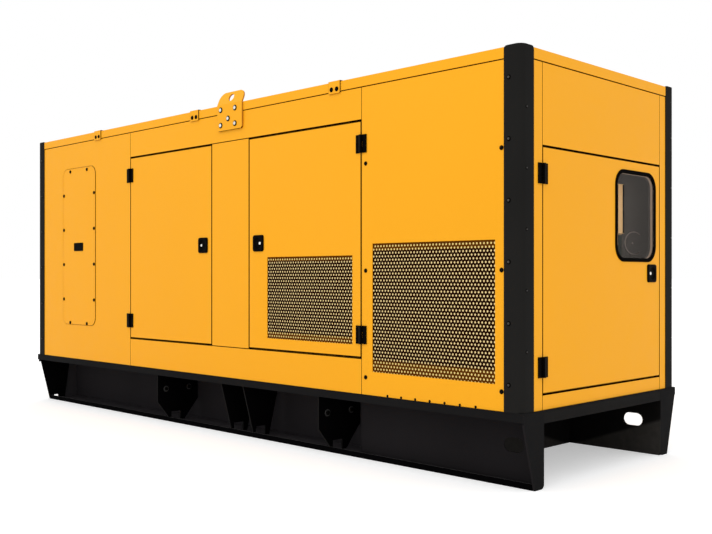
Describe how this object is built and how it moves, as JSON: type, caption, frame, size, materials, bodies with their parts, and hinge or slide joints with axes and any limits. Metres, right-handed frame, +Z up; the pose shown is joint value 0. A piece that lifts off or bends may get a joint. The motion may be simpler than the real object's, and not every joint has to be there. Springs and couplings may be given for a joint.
{
  "type": "enclosed diesel generator set",
  "caption": "Long sound-proofed generator housing on a raised steel base, with hinged service doors on the long side, an end door with a window, perforated air grilles and lifting plates.",
  "frame": {"origin": "on the ground under the middle of the housing", "axes": "+X to the end with the single door and window, -Y to the long side with two doors, +Z up"},
  "size_m": [5.0665, 1.647, 2.3112],
  "materials": {
    "yellow": "satin yellow paint",
    "black": "satin black paint",
    "grille": "perforated sheet in satin black paint",
    "fittings": "black moulded plastic",
    "rubber": "matt black",
    "glass": "grey tinted",
    "engine": "painted casting",
    "machine": "grey enamel",
    "radiator": "matt black finned core",
    "cabinet": "textured grey-beige paint"
  },
  "bodies": {
    "housing": {"deck_plate": "black", "front_rail": "black", "back_rail": "black", "end_beams": "black", "base_gussets": "black", "cross_walls": "black", "fuel_tank": "black", "front_posts": "black", "back_posts": "black", "front_left_panel": "yellow", "front_left_cover": "yellow", "front_header": "yellow", "front_sill": "yellow", "front_pillar": "yellow", "front_inner_post": "black", "front_right_panel": "yellow", "front_right_grille": "grille", "front_fixed_fittings": "fittings", "end_jambs": "yellow", "end_header": "yellow", "end_sill": "yellow", "end_fixed_leaves": "fittings", "back_panels": "yellow", "back_frame": "yellow", "back_doors": "yellow", "back_grilles": "grille", "back_fittings": "fittings", "left_end_panel": "yellow", "left_end_grille": "grille", "roof_cap": "yellow", "roof_brackets": "yellow", "lifting_plates": "yellow", "engine": "engine", "alternator": "machine", "radiator": "radiator", "control_cabinet": "cabinet"},
    "side_door_1": {"front_door_1": "yellow", "front_door_1_fittings": "fittings"},
    "side_door_2": {"front_door_2": "yellow", "front_door_2_grille": "grille", "front_door_2_fittings": "fittings"},
    "end_access_door": {"end_door": "yellow", "end_window_seal": "rubber", "end_window_glass": "glass", "end_door_fittings": "fittings"}
  },
  "joints": [
    {"name": "front_door_1_hinge", "type": "hinge", "parent": "housing", "child": "side_door_1", "pos_m": [-1.0475, -0.8135, 1.2885], "axis": [0, 0, -1], "range_deg": [0, 110]},
    {"name": "front_door_2_hinge", "type": "hinge", "parent": "housing", "child": "side_door_2", "pos_m": [1.4135, -0.8135, 1.2885], "axis": [0, 0, 1], "range_deg": [0, 110]},
    {"name": "end_door_hinge", "type": "hinge", "parent": "housing", "child": "end_access_door", "pos_m": [2.528, -0.618, 1.1065], "axis": [0, 0, -1], "range_deg": [0, 110]}
  ]
}
